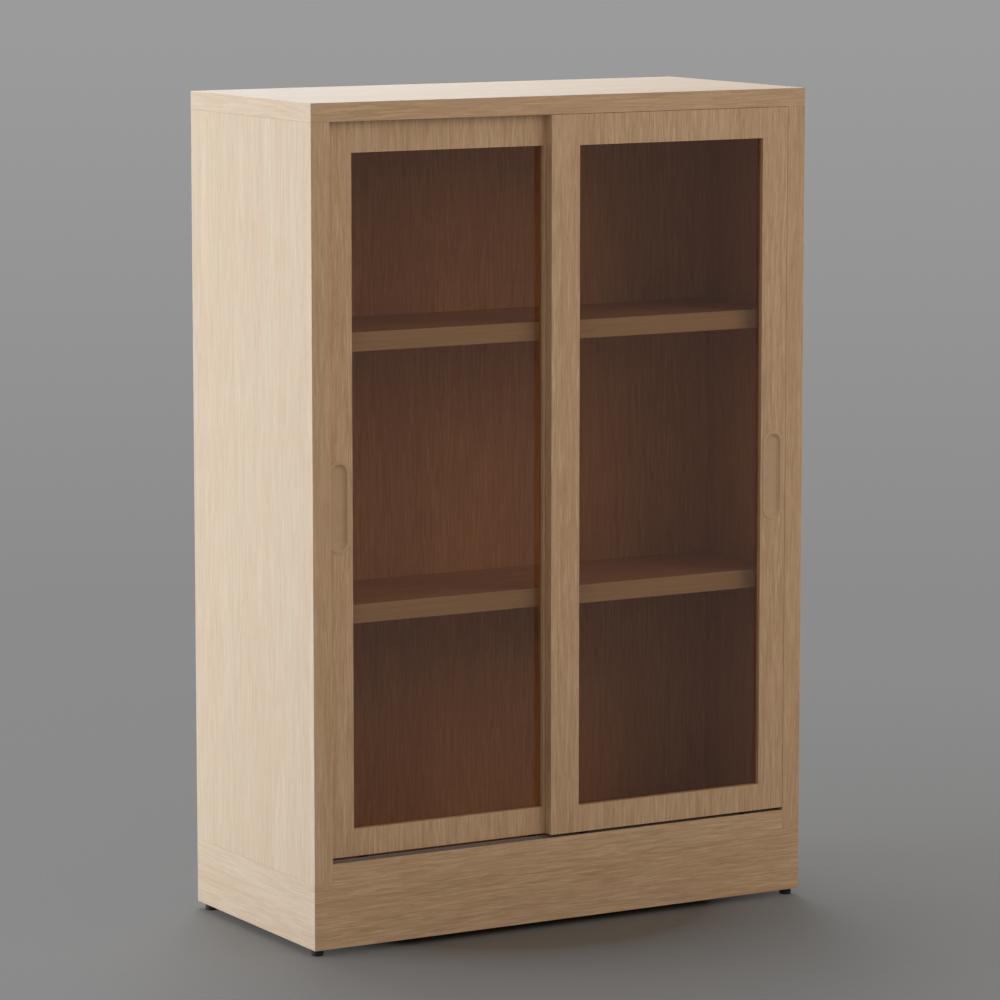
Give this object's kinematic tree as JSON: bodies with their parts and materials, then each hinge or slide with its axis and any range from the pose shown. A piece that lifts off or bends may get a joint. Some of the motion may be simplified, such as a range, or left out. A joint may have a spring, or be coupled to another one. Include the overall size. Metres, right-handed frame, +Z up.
{
  "type": "bookcase with sliding doors",
  "caption": "Free-standing oak-veneered bookcase with full-width shelves behind framed glass doors that slide past each other on a double track.",
  "frame": {"origin": "on the floor, under the middle of the whole part's box", "axes": "+X along the width to the right as seen from the front, +Y from the front to the back, +Z up"},
  "size_m": [0.8, 0.3648, 1.181],
  "materials": {
    "oak_veneer": "satin lacquered oak veneer",
    "plain_edge_band": "plain matt edge band",
    "bronze_glass": "bronze tinted float glass",
    "tan_plastic": "smooth satin moulding",
    "black_plastic": "moulded",
    "grey_plastic": "extruded",
    "black_nylon": "moulded",
    "grey_rubber": "soft",
    "zinc_steel": "zinc plated"
  },
  "bodies": {
    "carcass": {"top_panel": "oak_veneer", "left_side_panel": "oak_veneer", "right_side_panel": "oak_veneer", "bottom_panel": "oak_veneer", "back_panel": "oak_veneer", "plinth_front": "oak_veneer", "plinth_left": "oak_veneer", "plinth_right": "oak_veneer", "plinth_back": "oak_veneer", "foot_front_left": "black_plastic", "foot_front_right": "black_plastic", "foot_back_left": "black_plastic", "foot_back_right": "black_plastic", "lower_shelf": "oak_veneer", "lower_shelf_edge_band": "plain_edge_band", "lower_shelf_pin_front_left": "zinc_steel", "lower_shelf_pin_front_right": "zinc_steel", "lower_shelf_pin_back_left": "zinc_steel", "lower_shelf_pin_back_right": "zinc_steel", "upper_shelf": "oak_veneer", "upper_shelf_edge_band": "plain_edge_band", "upper_shelf_pin_front_left": "zinc_steel", "upper_shelf_pin_front_right": "zinc_steel", "upper_shelf_pin_back_left": "zinc_steel", "upper_shelf_pin_back_right": "zinc_steel", "bottom_track": "grey_plastic", "top_track": "grey_plastic", "buffer_left": "grey_rubber", "buffer_right": "grey_rubber"},
    "front_door": {"front_door_frame": "oak_veneer", "front_door_glass": "bronze_glass", "front_door_bead_top": "oak_veneer", "front_door_bead_bottom": "oak_veneer", "front_door_bead_left": "oak_veneer", "front_door_bead_right": "oak_veneer", "front_door_pull": "tan_plastic", "front_roller_housing_left": "black_nylon", "front_roller_housing_right": "black_nylon", "front_roller_axle_left": "zinc_steel", "front_roller_axle_right": "zinc_steel", "front_door_guide_left": "black_nylon", "front_door_guide_right": "black_nylon"},
    "rear_door": {"rear_door_frame": "oak_veneer", "rear_door_glass": "bronze_glass", "rear_door_bead_top": "oak_veneer", "rear_door_bead_bottom": "oak_veneer", "rear_door_bead_left": "oak_veneer", "rear_door_bead_right": "oak_veneer", "rear_door_pull": "tan_plastic", "rear_roller_housing_left": "black_nylon", "rear_roller_housing_right": "black_nylon", "rear_roller_axle_left": "zinc_steel", "rear_roller_axle_right": "zinc_steel", "rear_door_guide_left": "black_nylon", "rear_door_guide_right": "black_nylon"},
    "front_left_wheel": {"front_roller_wheel_left": "black_nylon"},
    "front_right_wheel": {"front_roller_wheel_right": "black_nylon"},
    "rear_left_wheel": {"rear_roller_wheel_left": "black_nylon"},
    "rear_right_wheel": {"rear_roller_wheel_right": "black_nylon"}
  },
  "joints": [
    {"name": "front_door_slide", "type": "slide", "parent": "carcass", "child": "front_door", "axis": [1, 0, 0], "range_m": [-0.3495, 0]},
    {"name": "rear_door_slide", "type": "slide", "parent": "carcass", "child": "rear_door", "axis": [1, 0, 0], "range_m": [0, 0.3495]},
    {"name": "front_left_wheel_spin", "type": "hinge", "parent": "front_door", "child": "front_left_wheel", "pos_m": [0.0385, -0.1741, 0.1366], "axis": [0, 1, 0], "range_deg": [-2503, 0]},
    {"name": "front_right_wheel_spin", "type": "hinge", "parent": "front_door", "child": "front_right_wheel", "pos_m": [0.311, -0.1741, 0.1366], "axis": [0, 1, 0], "range_deg": [-2503, 0]},
    {"name": "rear_left_wheel_spin", "type": "hinge", "parent": "rear_door", "child": "rear_left_wheel", "pos_m": [-0.311, -0.1571, 0.1366], "axis": [0, 1, 0], "range_deg": [0, 2503]},
    {"name": "rear_right_wheel_spin", "type": "hinge", "parent": "rear_door", "child": "rear_right_wheel", "pos_m": [-0.0385, -0.1571, 0.1366], "axis": [0, 1, 0], "range_deg": [0, 2503]}
  ],
  "couplings": [
    {"joint": "front_left_wheel_spin", "follows": "front_door_slide", "rad_per_m": 125},
    {"joint": "front_right_wheel_spin", "follows": "front_door_slide", "rad_per_m": 125},
    {"joint": "rear_left_wheel_spin", "follows": "rear_door_slide", "rad_per_m": 125},
    {"joint": "rear_right_wheel_spin", "follows": "rear_door_slide", "rad_per_m": 125}
  ]
}
